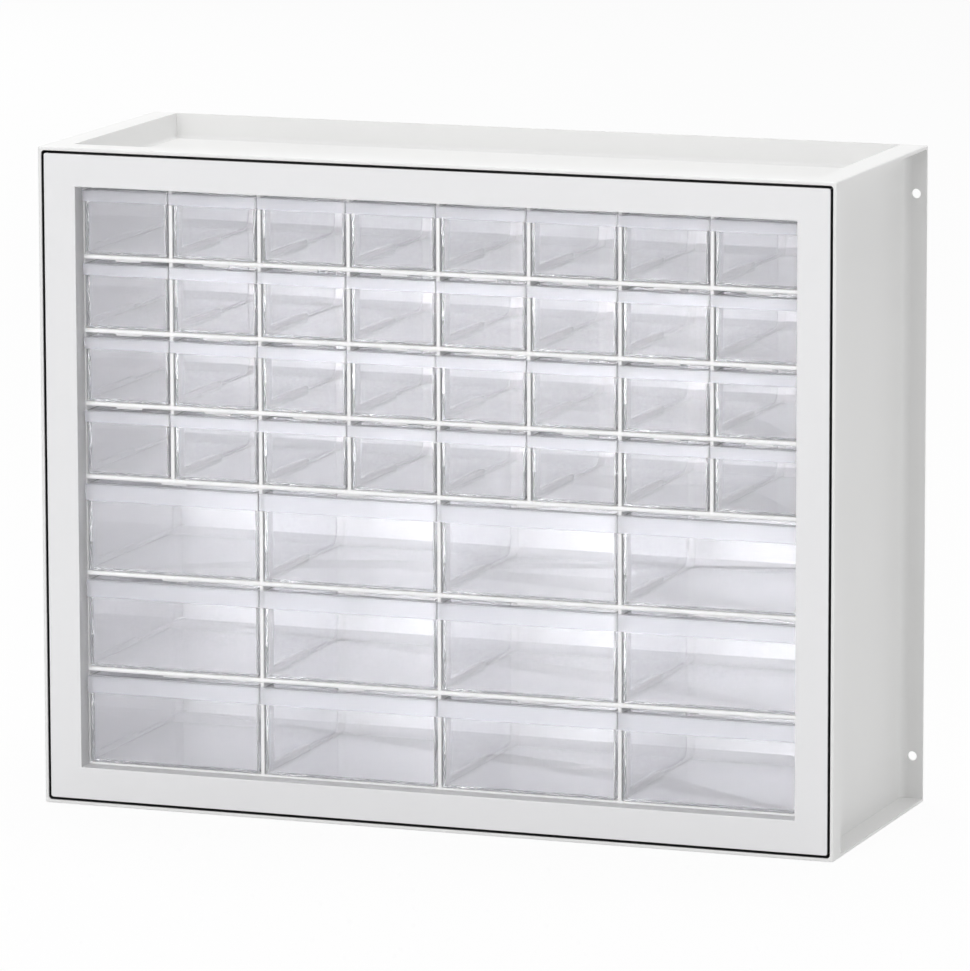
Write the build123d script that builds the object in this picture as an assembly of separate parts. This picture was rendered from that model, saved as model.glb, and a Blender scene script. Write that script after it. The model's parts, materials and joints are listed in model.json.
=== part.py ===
from build123d import *
import os

# Parts bin cabinet, in millimetres. X runs across the front, Y from front to back, Z up.
# The origin is under the middle of the cabinet. Depths are measured back from the front face.

# Outer casing: one moulding with a front rim, recessed sides and a tray on top and underneath
casing_width = 495.3
casing_height = 396.2
casing_depth = 177.8
casing_wall = 2.2
casing_round = 1.0
rim_edge_round = 0.6
rim_corner_round = 2.0
rim_depth = 14.0
side_recess = 14.1
recess_cove = 5.0
tray_depth = 15.3
tray_front = 17.0
tray_cove = 2.0
overcut = 1.0

# Wall holes through the rear flanges
wall_hole_radius = 2.9
wall_hole_from_side = 6.65
wall_hole_from_base = 27.9
wall_hole_from_top = 28.9

# Back panel, its ledge in the casing and the beads that hold it
panel_thickness = 1.8
panel_setback = 2.0
ledge_height = 2.0
ledge_thickness = 1.5
bead_height = 1.0
bead_thickness = 1.2
bead_length = 20.0
beads_per_side = 3

# Front bezel
bezel_gap = 1.5
bezel_wall = 2.0
bezel_corner_round = 1.5
bezel_edge_round = 0.6
reveal_depth = 12.5
bezel_cover_side = 0.8
bezel_cover_top = 0.9
bezel_cover_bottom = 0.4
locator_length = 12.0
locator_depth = 3.5
locators_per_side = 3

# Rack: side plates with channels, shelves with posts and guide ribs, and a top plate
fit = 0.3
rack_wall = 2.0
rack_margin = 4.25
rack_foot = 5.2
rack_head = 4.7
channel_reach = 2.8
channel_wall = 1.2
channel_play = 0.15
shelf_thickness = 2.8
shelf_round = 1.0
post_width = 2.4
post_depth = 14.5
post_setback = 0.3
post_head_gap = 0.1
post_round = 0.7
rib_height = 4.4
rib_length = 58.7
rib_round = 1.5

# Drawers
small_columns = 8
small_rows = 4
small_pitch_z = 44.1
large_columns = 4
large_rows = 3
drawer_wall = 1.4
drawer_heel_round = 8.0
drawer_edge_round = 1.2
drawer_inner_round = 0.6
drawer_side_gap = 1.2
running_gap = 0.3
drawer_head_gap = 2.1
window_setback = 0.2
rear_space = 32.5
lip_reach = 4.0
lip_post_gap = 0.4
lip_gap = 0.8
lip_bezel_gap = 0.6
lip_round = 0.8
small_lip_height = 7.2
large_lip_height = 10.5
gate_setback = 80.0
gate_radius = 2.6
gate_depth = 0.4

# Drawer stops: a tab on the rear wall meets a lug under the shelf above
tab_width = 14.0
tab_head_gap = 0.4
lug_width = 16.0
lug_drop = 1.2
lug_thickness = 1.6
lug_setback = 2.2

# Places worked out from the sizes above
half_width = casing_width / 2
panel_outer = half_width - side_recess
panel_inner = panel_outer - casing_wall
cavity_bottom = tray_depth + casing_wall
cavity_top = casing_height - cavity_bottom
rack_face = panel_inner - fit - rack_wall
panel_back = casing_depth - panel_setback
panel_front = panel_back - panel_thickness
ledge_back = panel_front - fit
ledge_front = ledge_back - ledge_thickness
rack_front = reveal_depth + fit
rack_back = ledge_front - fit
shelf_end = rack_face - fit
grid_half = rack_face - rack_margin
grid_bottom = cavity_bottom + rack_foot
grid_top = cavity_top - rack_head
small_pitch_x = 2 * grid_half / small_columns
large_pitch_x = 2 * grid_half / large_columns
large_pitch_z = (grid_top - grid_bottom - small_rows * small_pitch_z) / large_rows
opening_half = grid_half - bezel_cover_side
opening_bottom = grid_bottom + bezel_cover_bottom
opening_top = grid_top - bezel_cover_top
window_front = rack_front + window_setback
drawer_back = panel_front - rear_space

large_levels = [grid_bottom + row * large_pitch_z for row in range(large_rows)]
small_floor = grid_bottom + large_rows * large_pitch_z
small_levels = [small_floor + row * small_pitch_z for row in range(small_rows)]
levels = large_levels + small_levels + [grid_top]

tab_front = drawer_back - drawer_wall
lug_back = rack_front + lug_setback + lug_thickness
drawer_travel = tab_front - lug_back - fit


def block(x, depth, z):
    """A box between two corners, each pair given as (low, high)."""
    size_x, size_y, size_z = x[1] - x[0], depth[1] - depth[0], z[1] - z[0]
    middle_y = (depth[0] + depth[1]) / 2 - casing_depth / 2
    return Pos((x[0] + x[1]) / 2, middle_y, (z[0] + z[1]) / 2) * Box(size_x, size_y, size_z)


def side_span(side, inner, outer):
    """The X range from inner to outer on the left (-1) or the right (1)."""
    return tuple(sorted((side * inner, side * outer)))


def spread(count, length):
    """Middles of equal shares of a length that is centred on zero."""
    return [(index + 0.5) * length / count - length / 2 for index in range(count)]


def tray_pocket(low, high, floor_is_low):
    """The hollow of a tray, with a small cove round its floor."""
    pocket = block((-panel_inner, panel_inner), (tray_front, casing_depth - casing_wall), (low, high))
    floor = pocket.faces().sort_by(Axis.Z)[0 if floor_is_low else -1]
    return fillet(floor.edges(), tray_cove)


def side_pocket(side):
    """The recess in one side of the casing, with a cove where it meets the rear flange."""
    span = side_span(side, panel_outer, half_width + casing_wall)
    flange_front = casing_depth - casing_wall
    pocket = block(span, (rim_depth, flange_front), (casing_wall, casing_height - casing_wall))
    upright = pocket.edges().filter_by(Axis.Z).group_by(Axis.Y)[-1]
    corner = upright.sort_by(Axis.X)[-1 if side < 0 else 0]
    return fillet(corner, recess_cove)


def front_mouth():
    """The hollow of the front rim, which the bezel fills."""
    inside = (casing_wall, casing_height - casing_wall)
    reach = half_width - casing_wall
    mouth = block((-reach, reach), (-overcut, rim_depth - casing_wall), inside)
    mouth = fillet(mouth.edges().filter_by(Axis.Y), rim_corner_round)
    return mouth + block((-panel_inner, panel_inner), (0, tray_front - casing_wall), inside)


def panel_ledge():
    """The inward step that the back panel rests against."""
    depth = (ledge_front, ledge_back)
    height = (cavity_bottom, cavity_top)
    ring = block((-panel_inner, panel_inner), depth, height)
    inner = panel_inner - ledge_height
    return ring - block((-inner, inner), depth, (height[0] + ledge_height, height[1] - ledge_height))


def panel_beads():
    """Short beads behind the back panel, which snaps in past them."""
    depth = (panel_back + fit, panel_back + fit + bead_thickness)
    beads = []
    for middle in spread(beads_per_side, 2 * panel_inner):
        along = (middle - bead_length / 2, middle + bead_length / 2)
        beads.append(block(along, depth, (cavity_bottom, cavity_bottom + bead_height)))
        beads.append(block(along, depth, (cavity_top - bead_height, cavity_top)))
    for middle in spread(beads_per_side, cavity_top - cavity_bottom):
        centre = middle + (cavity_bottom + cavity_top) / 2
        upright = (centre - bead_length / 2, centre + bead_length / 2)
        for side in (-1, 1):
            beads.append(block(side_span(side, panel_inner - bead_height, panel_inner), depth, upright))
    return beads


def wall_holes():
    """The four round holes in the rear flanges."""
    middle_of_flange = (casing_depth - casing_wall) / 2
    across = half_width - wall_hole_from_side
    through = casing_wall + 2 * overcut
    holes = []
    for side in (-1, 1):
        for height in (wall_hole_from_base, casing_height - wall_hole_from_top):
            place = Pos(side * across, middle_of_flange, height)
            holes.append(place * Rot(90, 0, 0) * Cylinder(wall_hole_radius, through))
    return holes


def outer_casing():
    casing = block((-half_width, half_width), (0, casing_depth), (0, casing_height))
    casing = fillet(casing.edges(), casing_round)
    casing -= block((-panel_inner, panel_inner), (0, casing_depth + overcut), (cavity_bottom, cavity_top))
    casing -= front_mouth()
    casing -= tray_pocket(casing_height - tray_depth, casing_height + overcut, True)
    casing -= tray_pocket(-overcut, tray_depth, False)
    for side in (-1, 1):
        casing -= side_pocket(side)
    casing = fillet(casing.edges().group_by(Axis.Y)[0], rim_edge_round)
    casing -= wall_holes()
    return casing + panel_ledge() + panel_beads()


def back_panel():
    half = panel_inner - fit
    return block((-half, half), (panel_front, panel_back), (cavity_bottom + fit, cavity_top - fit))


def front_bezel():
    inset = casing_wall + bezel_gap
    half = half_width - inset
    skirt_depth = rim_depth - casing_wall - fit
    frame = block((-half, half), (0, reveal_depth), (inset, casing_height - inset))
    frame = fillet(frame.edges().filter_by(Axis.Y), bezel_corner_round)
    cut_back = reveal_depth + overcut
    frame -= block((-opening_half, opening_half), (-overcut, cut_back), (opening_bottom, opening_top))
    frame = fillet(frame.edges().group_by(Axis.Y)[0], bezel_edge_round)

    reveal_half = opening_half + bezel_wall
    reveal_z = (opening_bottom - bezel_wall, opening_top + bezel_wall)
    reveal = block((-reveal_half, reveal_half), (0, cut_back), reveal_z)
    pocket_half = half - bezel_wall
    pocket_z = (inset + bezel_wall, casing_height - inset - bezel_wall)
    frame -= block((-pocket_half, pocket_half), (bezel_wall, cut_back), pocket_z) - reveal
    wide = (-half_width, half_width)
    frame -= block(wide, (skirt_depth, cut_back), (0, casing_height)) - reveal

    reach = bezel_gap - fit / 2
    depth = (skirt_depth - locator_depth, skirt_depth)
    for middle in spread(locators_per_side, 2 * half):
        along = (middle - locator_length / 2, middle + locator_length / 2)
        frame += block(along, depth, (inset - reach, inset))
        frame += block(along, depth, (casing_height - inset, casing_height - inset + reach))
    for middle in spread(locators_per_side, casing_height - 2 * inset):
        centre = middle + casing_height / 2
        upright = (centre - locator_length / 2, centre + locator_length / 2)
        for side in (-1, 1):
            frame += block(side_span(side, half, half + reach), depth, upright)
    return frame


def rack_side(side):
    """A side plate with a channel for the end of each shelf."""
    depth = (rack_front, rack_back)
    plate = block(side_span(side, rack_face, rack_face + rack_wall), depth, (cavity_bottom + fit, cavity_top - fit))
    span = side_span(side, rack_face - channel_reach, rack_face)
    half_slot = shelf_thickness / 2 + channel_play
    for level in levels:
        for way in (-1, 1):
            z = sorted((level + way * half_slot, level + way * (half_slot + channel_wall)))
            plate += block(span, depth, z)
    return plate


def stop_lugs(level, columns):
    """Lugs under a shelf, one for each drawer of the row below it."""
    underside = level - shelf_thickness / 2
    depth = (lug_back - lug_thickness, lug_back)
    z = (underside - lug_drop, underside)
    return [
        block((middle - lug_width / 2, middle + lug_width / 2), depth, z)
        for middle in spread(columns, 2 * grid_half)
    ]


def shelf_plate(level):
    z = (level - shelf_thickness / 2, level + shelf_thickness / 2)
    plate = block((-shelf_end, shelf_end), (rack_front, rack_back), z)
    return fillet(plate.edges().filter_by(Axis.X).group_by(Axis.Y)[0], shelf_round)


def post_and_rib(x, low, high):
    """A short post behind the shelf's front edge, and the low rib that runs on behind it."""
    span = (x - post_width / 2, x + post_width / 2)
    post_front = rack_front + post_setback
    post_back = rack_front + post_depth
    post = block(span, (post_front, post_back), (low, high))
    post = fillet(post.edges().filter_by(Axis.Z).group_by(Axis.Y)[0], post_round)
    rib = block(span, (post_back, post_back + rib_length), (low, low + rib_height))
    rib_nose = rib.edges().filter_by(Axis.X).group_by(Axis.Y)[-1].sort_by(Axis.Z)[-1]
    return post + fillet(rib_nose, rib_round)


def rack_shelf(index):
    """A shelf, the posts and ribs between its drawers, and the stops for the row below."""
    level = levels[index]
    columns = large_columns if index < large_rows else small_columns
    low = level + shelf_thickness / 2
    high = levels[index + 1] - shelf_thickness / 2 - post_head_gap
    shelf = shelf_plate(level)
    for boundary in range(columns + 1):
        shelf += post_and_rib(-grid_half + boundary * 2 * grid_half / columns, low, high)
    if index > 0:
        below = large_columns if index <= large_rows else small_columns
        shelf += stop_lugs(level, below)
    return shelf


def rack_top():
    return shelf_plate(grid_top) + stop_lugs(grid_top, small_columns)


def drawer_lip(lip, body, top, height):
    """The hooked pull across the front: a face and ends with a hollow behind, open below."""
    lip_front = window_front - lip_reach
    lip_back = rack_front - lip_post_gap
    z = (top - height, top)
    pull = block(lip, (lip_front, lip_back), z)
    pull = fillet(pull.faces().sort_by(Axis.Y)[0].edges(), lip_round)
    pull += block(body, (lip_back, window_front + drawer_wall / 2), z)
    hollow_x = (lip[0] + drawer_wall, lip[1] - drawer_wall)
    return pull - block(hollow_x, (lip_front + drawer_wall, window_front), (z[0] - overcut, top - drawer_wall))


def heeled_block(x, depth, z, heel, edge):
    """A box whose lower rear edge is rounded by heel, and the sides of its floor and rear by edge."""
    shape = block(x, depth, z)
    rear = shape.faces().sort_by(Axis.Y)[-1].edges()
    shape = fillet(rear.sort_by(Axis.Z)[0], heel)
    sides = shape.edges().group_by(Axis.X)
    for outline in (sides[0], sides[-1]):
        behind_front = outline.sort_by(Axis.Y)[1:]
        shape = fillet(behind_front.sort_by(Axis.Z)[:-1], edge)
    return shape


def drawer_tub(body, bottom, top):
    """An open box with a rounded heel at the lower rear, and a gate mark under its floor."""
    depth = (window_front, drawer_back)
    outside = heeled_block(body, depth, (bottom, top), drawer_heel_round, drawer_edge_round)

    inner_x = (body[0] + drawer_wall, body[1] - drawer_wall)
    inner_depth = (window_front + drawer_wall, drawer_back - drawer_wall)
    inner_z = (bottom + drawer_wall, top + overcut)
    inside = heeled_block(inner_x, inner_depth, inner_z, drawer_heel_round - drawer_wall, drawer_inner_round)

    gate_depth_from_middle = window_front + gate_setback - casing_depth / 2
    gate = Pos((body[0] + body[1]) / 2, gate_depth_from_middle, bottom) * Cylinder(gate_radius, 2 * gate_depth)
    return outside - inside - gate


def drawer(column, columns, level, level_above, lip_height):
    """One clear drawer: tub, lip and the stop tab on its rear wall."""
    pitch = 2 * grid_half / columns
    middle = spread(columns, 2 * grid_half)[column]
    half_body = pitch / 2 - post_width / 2 - drawer_side_gap
    body = (middle - half_body, middle + half_body)
    limit = opening_half - lip_bezel_gap
    half_lip = pitch / 2 - lip_gap / 2
    lip = (max(middle - half_lip, -limit), min(middle + half_lip, limit))
    bottom = level + shelf_thickness / 2 + running_gap
    underside = level_above - shelf_thickness / 2
    top = underside - drawer_head_gap
    tab_x = (middle - tab_width / 2, middle + tab_width / 2)
    tab_z = (top - drawer_wall, underside - tab_head_gap)
    tab = block(tab_x, (tab_front, drawer_back), tab_z)
    return drawer_tub(body, bottom, top) + drawer_lip(lip, body, top, lip_height) + tab


def drawers():
    """All drawers by node name. Rows are counted from the top and columns from the left."""
    nodes = {}
    for row in range(small_rows):
        low = large_rows + small_rows - 1 - row
        for column in range(small_columns):
            name = f"small_drawer_r{row + 1}_c{column + 1}"
            nodes[name] = drawer(column, small_columns, levels[low], levels[low + 1], small_lip_height)
    for row in range(large_rows):
        low = large_rows - 1 - row
        for column in range(large_columns):
            name = f"large_drawer_r{row + 1}_c{column + 1}"
            nodes[name] = drawer(column, large_columns, levels[low], levels[low + 1], large_lip_height)
    return nodes


def assembly():
    nodes = {
        "outer_casing": outer_casing(),
        "back_panel": back_panel(),
        "front_bezel": front_bezel(),
        "rack_side_left": rack_side(-1),
        "rack_side_right": rack_side(1),
        "rack_top": rack_top(),
    }
    for index in range(large_rows + small_rows):
        nodes[f"rack_shelf_{index + 1}"] = rack_shelf(index)
    nodes.update(drawers())
    return nodes


os.makedirs("parts", exist_ok=True)
for name, solid in assembly().items():
    export_step(solid, f"parts/{name}.step")
print(f"column pitch {small_pitch_x:.2f}, large row pitch {large_pitch_z:.2f}, travel {drawer_travel:.2f}")
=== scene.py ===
import json
import math

import bmesh
import bpy
import numpy as np
from mathutils import Matrix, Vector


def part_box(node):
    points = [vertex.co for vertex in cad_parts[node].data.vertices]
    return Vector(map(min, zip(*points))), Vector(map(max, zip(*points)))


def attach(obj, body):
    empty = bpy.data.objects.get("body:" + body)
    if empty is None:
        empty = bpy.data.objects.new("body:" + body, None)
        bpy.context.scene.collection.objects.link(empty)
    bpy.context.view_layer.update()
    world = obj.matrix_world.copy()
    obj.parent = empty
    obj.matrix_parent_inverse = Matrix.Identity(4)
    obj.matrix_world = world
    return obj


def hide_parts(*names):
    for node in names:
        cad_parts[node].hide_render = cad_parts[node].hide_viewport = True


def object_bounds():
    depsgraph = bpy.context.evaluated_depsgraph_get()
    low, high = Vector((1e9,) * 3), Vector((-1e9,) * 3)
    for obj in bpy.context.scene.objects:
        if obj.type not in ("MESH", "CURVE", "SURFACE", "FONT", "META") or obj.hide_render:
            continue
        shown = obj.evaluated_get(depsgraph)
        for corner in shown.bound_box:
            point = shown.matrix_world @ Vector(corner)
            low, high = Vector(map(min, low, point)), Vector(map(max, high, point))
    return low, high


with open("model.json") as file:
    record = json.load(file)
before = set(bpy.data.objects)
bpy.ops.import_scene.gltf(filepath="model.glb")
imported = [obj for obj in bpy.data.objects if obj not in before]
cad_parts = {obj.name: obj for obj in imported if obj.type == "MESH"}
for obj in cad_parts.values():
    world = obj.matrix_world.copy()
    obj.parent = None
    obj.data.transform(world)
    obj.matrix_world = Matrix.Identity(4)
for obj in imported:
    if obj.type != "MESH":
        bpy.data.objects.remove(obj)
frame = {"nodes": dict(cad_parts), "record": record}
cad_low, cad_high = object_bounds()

# Parts bin cabinet, in metres. X runs across the front, Y from front to back, Z up.

FRONT = cad_low.y
HALF_WIDTH = cad_high.x
MIDDLE_HEIGHT = (cad_low.z + cad_high.z) / 2

# Sizes that the finishes follow
RIM_WALL = 0.0022
BEZEL_GAP = 0.0015
GAP_FLOOR = 0.0118
LIP_BACK = 0.0127
GATE_Y = 0.0041
GATE_RADIUS = 0.0026

CASING = ("outer_casing",)
BEZEL = ("front_bezel",)
RACK = ("back_panel", "rack_side_left", "rack_side_right", "rack_top", *(f"rack_shelf_{i}" for i in range(1, 8)))
DRAWERS = [name for name in frame["nodes"] if "drawer" in name]

# Rounding of the moulded edges, as a width and a number of segments
CASING_EDGE = (0.0004, 3)
RACK_EDGE = (0.0003, 2)
DRAWER_EDGE = (0.00025, 2)
SHARP_ANGLE = math.radians(50)
FLAT_ANGLE = math.radians(0.5)

# Light levels: the world's share of white, and the lamps' power in watts
AMBIENT = 0.25
KEY_POWER = 76.0
TOP_POWER = 56.0
SIDE_POWER = 45.0
REAR_POWER = 55.0
SMALL_ROWS_POWER = 0.205
LARGE_ROWS_POWER = 0.145
FLOOR_GLOW = 0.94

# Light runs along the clear walls by many reflections, and passes many times between the white ones
CLEAR_BOUNCES = 40
WHITE_BOUNCES = 16
OPEN_BOUNCES = 64


# ---------------------------------------------------------------- pieces

def merged_copy(node, name):
    """A copy of a CAD piece with its loose triangles joined and its flat faces whole."""
    mesh = bpy.data.meshes.new(name)
    source = frame["nodes"][node].data
    shell = bmesh.new()
    shell.from_mesh(source)
    bmesh.ops.remove_doubles(shell, verts=shell.verts, dist=2e-6)
    bmesh.ops.dissolve_degenerate(shell, edges=shell.edges, dist=1e-6)
    bmesh.ops.dissolve_limit(
        shell, angle_limit=FLAT_ANGLE, verts=shell.verts, edges=shell.edges, use_dissolve_boundaries=False
    )
    for face in shell.faces:
        face.smooth = True
    shell.to_mesh(mesh)
    shell.free()
    mesh.set_sharp_from_angle(angle=SHARP_ANGLE)
    piece = bpy.data.objects.new(name, mesh)
    bpy.context.scene.collection.objects.link(piece)
    return piece


def soften(piece, width, segments):
    """Rounds the sharp edges as a moulded piece's are, and keeps the flat faces flat."""
    edges = piece.modifiers.new("rounded_edges", "BEVEL")
    edges.width = width
    edges.segments = segments
    edges.limit_method = "ANGLE"
    edges.angle_limit = SHARP_ANGLE
    edges.use_clamp_overlap = True
    edges.miter_outer = "MITER_ARC"
    flats = piece.modifiers.new("flat_faces", "WEIGHTED_NORMAL")
    flats.mode = "FACE_AREA"
    flats.weight = 100
    flats.thresh = 1e-7
    flats.keep_sharp = False


def body_of(node):
    """The moving body that a node belongs to."""
    for body, nodes in frame["record"]["behaviour"]["bodies"].items():
        if node in nodes:
            return body


def face_middles(mesh):
    """The middle of every face, as rows of X, Y and Z."""
    middles = np.empty(len(mesh.polygons) * 3)
    mesh.polygons.foreach_get("center", middles)
    return middles.reshape(-1, 3)


def drawer_regions(mesh, middle_x, underside):
    """A material number for every face: 0 on the tub, 1 on the pull and 2 on the gate mark under the floor."""
    x, y, z = face_middles(mesh).T
    regions = np.zeros(len(x), np.int32)
    regions[y - FRONT < LIP_BACK] = 1
    gate = (np.hypot(x - middle_x, y - GATE_Y) < GATE_RADIUS) & (z - underside < 0.0005)
    regions[gate] = 2
    return regions


def finish_node(node, materials, edge):
    """Stands a softened copy in a CAD piece's place, with its materials."""
    piece = merged_copy(node, f"{node}_moulded")
    for material in materials:
        piece.data.materials.append(material)
    if len(materials) > 1:
        low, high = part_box(node)
        piece.data.polygons.foreach_set("material_index", drawer_regions(piece.data, (low.x + high.x) / 2, low.z))
    soften(piece, *edge)
    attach(piece, body_of(node))
    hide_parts(node)


# ---------------------------------------------------------------- material tools

class Graph:
    """Adds nodes to a node tree. Each call takes sockets or plain values and returns an output socket."""

    def __init__(self, tree):
        self.tree = tree

    def node(self, kind, inputs=(), out=0, **settings):
        made = self.tree.nodes.new(kind)
        for key, value in settings.items():
            setattr(made, key, value)
        for key, value in dict(inputs).items():
            socket = made.inputs[key]
            if isinstance(value, bpy.types.NodeSocket):
                self.tree.links.new(value, socket)
            else:
                socket.default_value = value
        return made.outputs[out]

    def maths(self, operation, *values):
        return self.node("ShaderNodeMath", enumerate(values), operation=operation)

    def above(self, value, edge, blur):
        """1 where the value is over the edge and 0 below it, with a soft step of width blur."""
        inputs = {"Value": value, "From Min": edge - blur / 2, "From Max": edge + blur / 2}
        return self.node("ShaderNodeMapRange", inputs, interpolation_type="SMOOTHSTEP")

    def below(self, value, edge, blur):
        return self.maths("SUBTRACT", 1.0, self.above(value, edge, blur))

    def place(self):
        """The point in the cabinet's own frame, and its X, Y and Z."""
        coordinates = self.node("ShaderNodeTexCoord", out="Object")
        split = self.tree.nodes.new("ShaderNodeSeparateXYZ")
        self.tree.links.new(coordinates, split.inputs[0])
        return coordinates, split.outputs[0], split.outputs[1], split.outputs[2]

    def mix(self, amount, first, second):
        inputs = {0: amount, 6: first, 7: second}
        return self.node("ShaderNodeMix", inputs, out=2, data_type="RGBA")


def new_group(name, inputs, outputs):
    """An empty shader group with named inputs (name: (kind, default)) and outputs (name: kind)."""
    tree = bpy.data.node_groups.new(name, "ShaderNodeTree")
    for label, (kind, default) in inputs.items():
        socket = tree.interface.new_socket(label, in_out="INPUT", socket_type=kind)
        socket.default_value = default
    for label, kind in outputs.items():
        tree.interface.new_socket(label, in_out="OUTPUT", socket_type=kind)
    entry = tree.nodes.new("NodeGroupInput")
    leave = tree.nodes.new("NodeGroupOutput")
    return tree, Graph(tree), entry.outputs, leave.inputs


def use_group(graph, tree, **values):
    """Places a group in a material and returns its outputs."""
    made = graph.tree.nodes.new("ShaderNodeGroup")
    made.node_tree = tree
    for key, value in values.items():
        socket = made.inputs[key.replace("_", " ")]
        if isinstance(value, bpy.types.NodeSocket):
            graph.tree.links.new(value, socket)
        else:
            socket.default_value = value
    return made.outputs


def new_material(name):
    """A material with one Principled shader, and the graph that feeds it."""
    material = bpy.data.materials.new(name)
    material.use_nodes = True
    shader = material.node_tree.nodes["Principled BSDF"]
    return material, Graph(material.node_tree), shader


def feed(graph, shader, **values):
    """Links sockets or sets values on the shader's inputs."""
    for key, value in values.items():
        socket = shader.inputs[key.replace("_", " ")]
        if isinstance(value, bpy.types.NodeSocket):
            graph.tree.links.new(value, socket)
        else:
            socket.default_value = value


# ---------------------------------------------------------------- shared effects

def moulded_skin_group():
    """Fine grain and slow waves of a moulded plastic face.

    Height is fine noise plus slow noise from the moulding's cooling; Tone varies slowly between 0 and 1.
    """
    tree, graph, given, wanted = new_group(
        "moulded_skin",
        {"Grain Size": ("NodeSocketFloat", 0.0006), "Wave Size": ("NodeSocketFloat", 0.09)},
        {"Height": "NodeSocketFloat", "Tone": "NodeSocketFloat"},
    )
    place = graph.place()[0]
    grain_scale = graph.maths("DIVIDE", 1.0, given["Grain Size"])
    wave_scale = graph.maths("DIVIDE", 1.0, given["Wave Size"])
    grain = graph.node("ShaderNodeTexNoise", {"Vector": place, "Scale": grain_scale, "Detail": 2.0})
    waves = graph.node("ShaderNodeTexNoise", {"Vector": place, "Scale": wave_scale, "Detail": 1.0})
    height = graph.maths("MULTIPLY_ADD", waves, 3.0, graph.maths("MULTIPLY", grain, 0.25))
    graph.tree.links.new(height, wanted["Height"])
    graph.tree.links.new(waves, wanted["Tone"])
    return tree


def painted_gap_shade_group():
    """A mask for painted shade in the slot round the bezel: 1 deep inside it and 0 elsewhere.

    The slot lies where the larger of the distances past the bezel's sides and ends is between 0 and the gap.
    """
    tree, graph, given, wanted = new_group(
        "painted_bezel_gap_shade", {"Fade": ("NodeSocketFloat", 0.0012)}, {"Mask": "NodeSocketFloat"}
    )
    x, y, z = graph.place()[1:]
    inset = RIM_WALL + BEZEL_GAP
    past_side = graph.maths("SUBTRACT", graph.maths("ABSOLUTE", x), HALF_WIDTH - inset)
    from_middle = graph.maths("ABSOLUTE", graph.maths("SUBTRACT", z, MIDDLE_HEIGHT))
    past_end = graph.maths("SUBTRACT", from_middle, MIDDLE_HEIGHT - inset)
    past = graph.maths("MAXIMUM", past_side, past_end)
    inside = graph.maths(
        "MULTIPLY", graph.above(past, -0.0002, 0.0002), graph.below(past, BEZEL_GAP + 0.0002, 0.0002)
    )
    depth = graph.maths("SUBTRACT", y, FRONT)
    deep = graph.maths("DIVIDE", depth, given["Fade"])
    deep = graph.node("ShaderNodeClamp", {0: deep})
    not_behind = graph.below(depth, GAP_FLOOR + 0.0006, 0.0004)
    mask = graph.maths("MULTIPLY", graph.maths("MULTIPLY", inside, deep), not_behind)
    graph.tree.links.new(mask, wanted["Mask"])
    return tree


MOULDED_SKIN = moulded_skin_group()
# Painted shade for the slot round the bezel, used by the casing and the bezel
GAP = painted_gap_shade_group()


# ---------------------------------------------------------------- materials

def white_plastic(name, colour, roughness, gap_shade=0.0):
    """Opaque white moulding with a satin skin. Inside the bezel's gap, shade is painted in: the colour darkens
    towards near black by gap_shade.
    """
    material, graph, shader = new_material(name)
    skin = use_group(graph, MOULDED_SKIN)
    paler = tuple(min(1.0, channel * 1.012) for channel in colour) + (1.0,)
    deeper = tuple(channel * 0.988 for channel in colour) + (1.0,)
    tone = graph.mix(skin["Tone"], deeper, paler)
    if gap_shade:
        # Painted shade: deep in the bezel's gap the colour turns near black
        mask = use_group(graph, GAP)["Mask"]
        tone = graph.mix(graph.maths("MULTIPLY", mask, gap_shade), tone, (0.012, 0.012, 0.013, 1.0))
    rough = graph.maths("MULTIPLY_ADD", skin["Tone"], 0.08, roughness - 0.04)
    bump = graph.node("ShaderNodeBump", {"Height": skin["Height"], "Strength": 0.12, "Distance": 0.00025})
    feed(graph, shader, Base_Color=tone, Roughness=rough, Normal=bump)
    return material


def clear_plastic(name, haze, haze_colour):
    """Clear moulding: glass-like for what is seen through it, and open to the light that falls inside.

    A share, haze, of each outer surface is milky, as on the frosted pulls. Inside a wall there is no haze, so
    light that runs along a wall comes out at its far end. Light that falls inside loses what a clear face
    turns back: 3 hundredths straight on, and nearly all at a slant.
    """
    material, graph, shader = new_material(name)
    skin = use_group(graph, MOULDED_SKIN, Grain_Size=0.004, Wave_Size=0.05)
    bump = graph.node("ShaderNodeBump", {"Height": skin["Height"], "Strength": 0.05, "Distance": 0.0001})
    feed(graph, shader, Base_Color=(0.985, 0.985, 1.0, 1.0), Roughness=0.02, IOR=1.5, Transmission_Weight=1.0)
    feed(graph, shader, Normal=bump)
    path = graph.tree.nodes.new("ShaderNodeLightPath")
    open_way = graph.maths("MAXIMUM", path.outputs["Is Shadow Ray"], path.outputs["Is Diffuse Ray"])
    slant = graph.node("ShaderNodeLayerWeight", {"Blend": 0.5}, out=1)
    turned_back = graph.maths("MULTIPLY_ADD", graph.maths("POWER", slant, 5.0), 0.94, 0.03)
    passed = graph.mix(turned_back, (0.99, 0.99, 0.995, 1.0), (0.0, 0.0, 0.0, 1.0))
    through = graph.node("ShaderNodeBsdfTransparent", {"Color": passed})
    milky = graph.node("ShaderNodeBsdfPrincipled", {"Base Color": haze_colour, "Roughness": 0.3})
    inside = graph.node("ShaderNodeNewGeometry", out="Backfacing")
    outer_haze = graph.maths("MULTIPLY_ADD", inside, -haze, haze)
    hazed = graph.node("ShaderNodeMixShader", {0: outer_haze, 1: shader.outputs[0], 2: milky})
    mixed = graph.node("ShaderNodeMixShader", {0: open_way, 1: hazed, 2: through})
    graph.tree.links.new(mixed, graph.tree.nodes["Material Output"].inputs["Surface"])
    return material


# ---------------------------------------------------------------- studio

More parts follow.
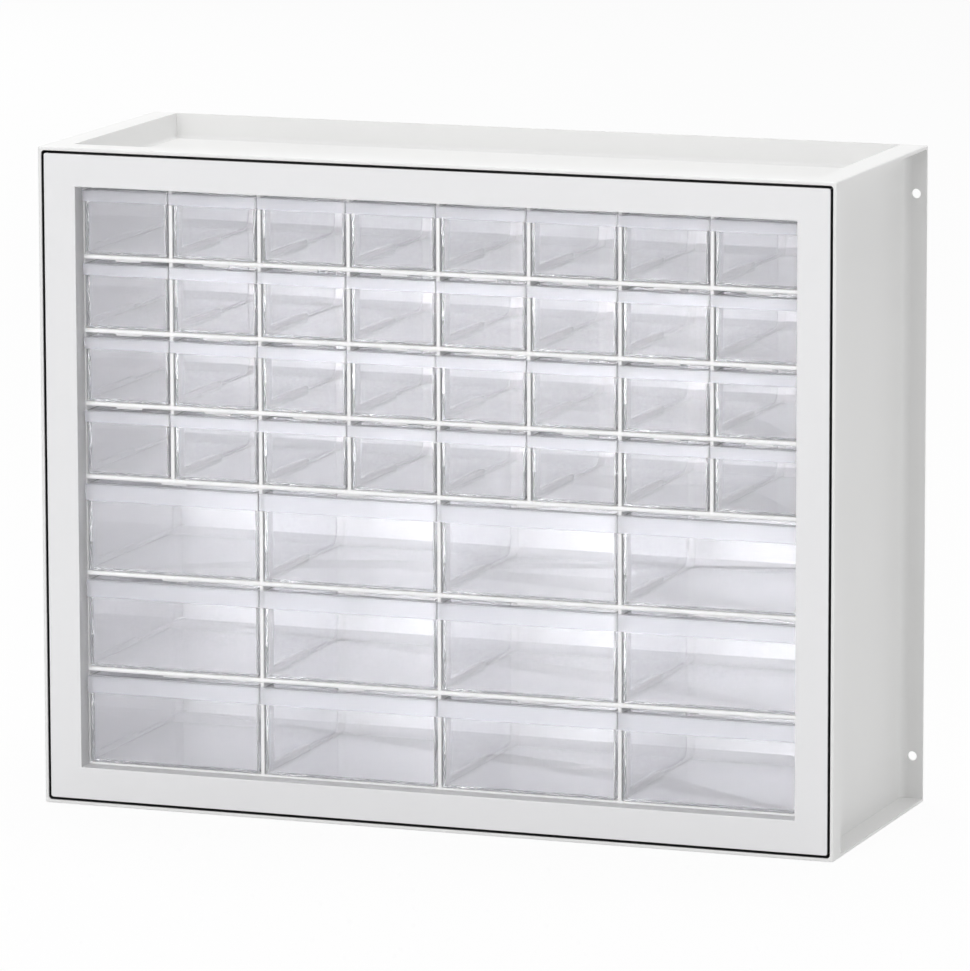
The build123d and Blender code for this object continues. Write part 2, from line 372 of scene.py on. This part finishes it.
def aim_camera():
    """The photograph's viewpoint: to the right of the front and a little above, through a long lens."""
    yaw, pitch, roll = (math.radians(angle) for angle in (20.273, 9.805, -0.142))
    forward = np.array([-math.sin(yaw) * math.cos(pitch), math.cos(yaw) * math.cos(pitch), -math.sin(pitch)])
    level = np.array([math.cos(yaw), math.sin(yaw), 0.0])
    up = np.cross(level, forward)
    right = math.cos(roll) * level + math.sin(roll) * up
    up = math.cos(roll) * up - math.sin(roll) * level
    turn = np.identity(4)
    turn[:3, 0], turn[:3, 1], turn[:3, 2] = right, up, -forward
    turn[:3, 3] = (1.5635, -4.2302, 0.9719)
    data = bpy.data.cameras.new("view")
    data.lens = 285.095
    data.sensor_width = 36.0
    data.clip_start, data.clip_end = 0.05, 200.0
    camera = bpy.data.objects.new("view", data)
    camera.matrix_world = Matrix(turn.tolist())
    bpy.context.scene.collection.objects.link(camera)
    bpy.context.scene.camera = camera


def lamp(name, position, target, width, height, power, spread=180.0):
    """A soft box at a position, facing a target. Spread is the angle of its beam in degrees."""
    data = bpy.data.lights.new(name, "AREA")
    data.shape = "RECTANGLE"
    data.size = width
    data.size_y = height
    data.energy = power
    data.spread = math.radians(spread)
    light = bpy.data.objects.new(name, data)
    back = np.array(position) - np.array(target)
    back /= np.linalg.norm(back)
    across = np.cross((0.0, 0.0, 1.0), back)
    across /= np.linalg.norm(across)
    turn = np.identity(4)
    turn[:3, 0], turn[:3, 1], turn[:3, 2], turn[:3, 3] = across, np.cross(back, across), back, position
    light.matrix_world = Matrix(turn.tolist())
    bpy.context.scene.collection.objects.link(light)
    return light


def light_only(light, pieces):
    """Keeps a lamp's light to the given pieces. The others still stand in its way."""
    lit = bpy.data.collections.new(f"lit_by_{light.name}")
    for piece in pieces:
        lit.objects.link(piece)
    light.light_linking.receiver_collection = lit


def seen_directly(graph):
    """1 for rays that come from the camera, a gloss or clear material, and 0 for light that lands on things."""
    path = graph.tree.nodes.new("ShaderNodeLightPath")
    seen = graph.maths("MAXIMUM", path.outputs["Is Camera Ray"], path.outputs["Is Glossy Ray"])
    return graph.maths("MAXIMUM", seen, path.outputs["Is Transmission Ray"])


def light_studio():
    """A white room: even light from all round, and soft boxes in front, above, at the right and behind.

    Two weak lamps fill the drawers, as light that bounces in a white room does. They light only what lies
    behind the front edges of the rack.
    """
    world = bpy.data.worlds.new("studio")
    bpy.context.scene.world = world
    world.use_nodes = True
    graph = Graph(world.node_tree)
    background = world.node_tree.nodes["Background"]
    strength = graph.maths("MULTIPLY_ADD", seen_directly(graph), 1.0 - AMBIENT, AMBIENT)
    background.inputs["Color"].default_value = (1.0, 1.0, 1.0, 1.0)
    world.node_tree.links.new(strength, background.inputs["Strength"])
    middle = (0.0, 0.0, 0.2)
    lamp("key", (-0.35, -3.6, 1.5), middle, 2.6, 2.6, KEY_POWER)
    lamp("top", (0.0, 0.3, 3.2), middle, 2.0, 2.0, TOP_POWER)
    lamp("side", (4.5, 0.2, 1.2), middle, 1.6, 1.6, SIDE_POWER)
    lamp("rear", (-3.1, 3.1, 1.3), middle, 2.0, 2.0, REAR_POWER)
    behind_windows = [bpy.data.objects[f"{node}_moulded"] for node in ("back_panel", *DRAWERS)]
    rows = (("small_rows", 0.285, SMALL_ROWS_POWER), ("large_rows", 0.11, LARGE_ROWS_POWER))
    for name, height, power in rows:
        position, target = (0.0, -0.59, height + 0.042), (0.0, -0.09, height)
        light_only(lamp(name, position, target, 0.44, 0.175, power, 16.0), behind_windows)


def lay_floor():
    """A pale floor that fades to white for the camera and still takes the cabinet's shadow."""
    reach = 40.0
    mesh = bpy.data.meshes.new("floor")
    corners = [(-reach, -reach, 0.0), (reach, -reach, 0.0), (reach, reach, 0.0), (-reach, reach, 0.0)]
    mesh.from_pydata(corners, [], [(0, 1, 2, 3)])
    floor = bpy.data.objects.new("floor", mesh)
    bpy.context.scene.collection.objects.link(floor)
    material, graph, shader = new_material("pale_floor")
    feed(graph, shader, Base_Color=(0.85, 0.85, 0.85, 1.0), Roughness=0.9, Specular_IOR_Level=0.0)
    glow = graph.node("ShaderNodeEmission", {"Color": (1.0, 1.0, 1.0, 1.0), "Strength": 1.0})
    amount = graph.maths("MULTIPLY", seen_directly(graph), FLOOR_GLOW)
    mixed = graph.node("ShaderNodeMixShader", {0: amount, 1: shader.outputs[0], 2: glow})
    output = material.node_tree.nodes["Material Output"]
    material.node_tree.links.new(mixed, output.inputs["Surface"])
    mesh.materials.append(material)


# ---------------------------------------------------------------- the cabinet

white_casing = white_plastic("white_casing", (0.79, 0.79, 0.785), 0.38, gap_shade=0.97)
white_bezel = white_plastic("white_bezel", (0.79, 0.79, 0.80), 0.34, gap_shade=0.97)
# The rack's white is paler than the casing's: partly its own colour, partly painted light that brightens the
# shaded inside of the cabinet
rack_white_and_painted_light = white_plastic("rack_white_and_painted_light", (0.955, 0.955, 0.96), 0.30)
clear_tub = clear_plastic("clear_tub", 0.22, (0.88, 0.88, 0.92, 1.0))
clear_pull = clear_plastic("clear_pull", 0.40, (0.48, 0.48, 0.515, 1.0))
gate_mark = clear_plastic("clear_gate_mark", 0.45, (0.35, 0.35, 0.36, 1.0))

for nodes, materials, slot, edge in (
    (CASING, [white_casing], "white_plastic", CASING_EDGE),
    (BEZEL, [white_bezel], "white_plastic", CASING_EDGE),
    (RACK, [rack_white_and_painted_light], "white_plastic", RACK_EDGE),
    (DRAWERS, [clear_tub, clear_pull, gate_mark], "clear_plastic", DRAWER_EDGE),
):
    for node in nodes:
        finish_node(node, materials, edge)

aim_camera()
light_studio()
lay_floor()

scene = bpy.context.scene
scene.view_settings.view_transform = "Standard"
scene.cycles.transparent_max_bounces = OPEN_BOUNCES
scene.cycles.max_bounces = CLEAR_BOUNCES
scene.cycles.transmission_bounces = CLEAR_BOUNCES
scene.cycles.glossy_bounces = CLEAR_BOUNCES
scene.cycles.diffuse_bounces = WHITE_BOUNCES
scene.cycles.sample_clamp_indirect = 0.0

bpy.context.view_layer.update()
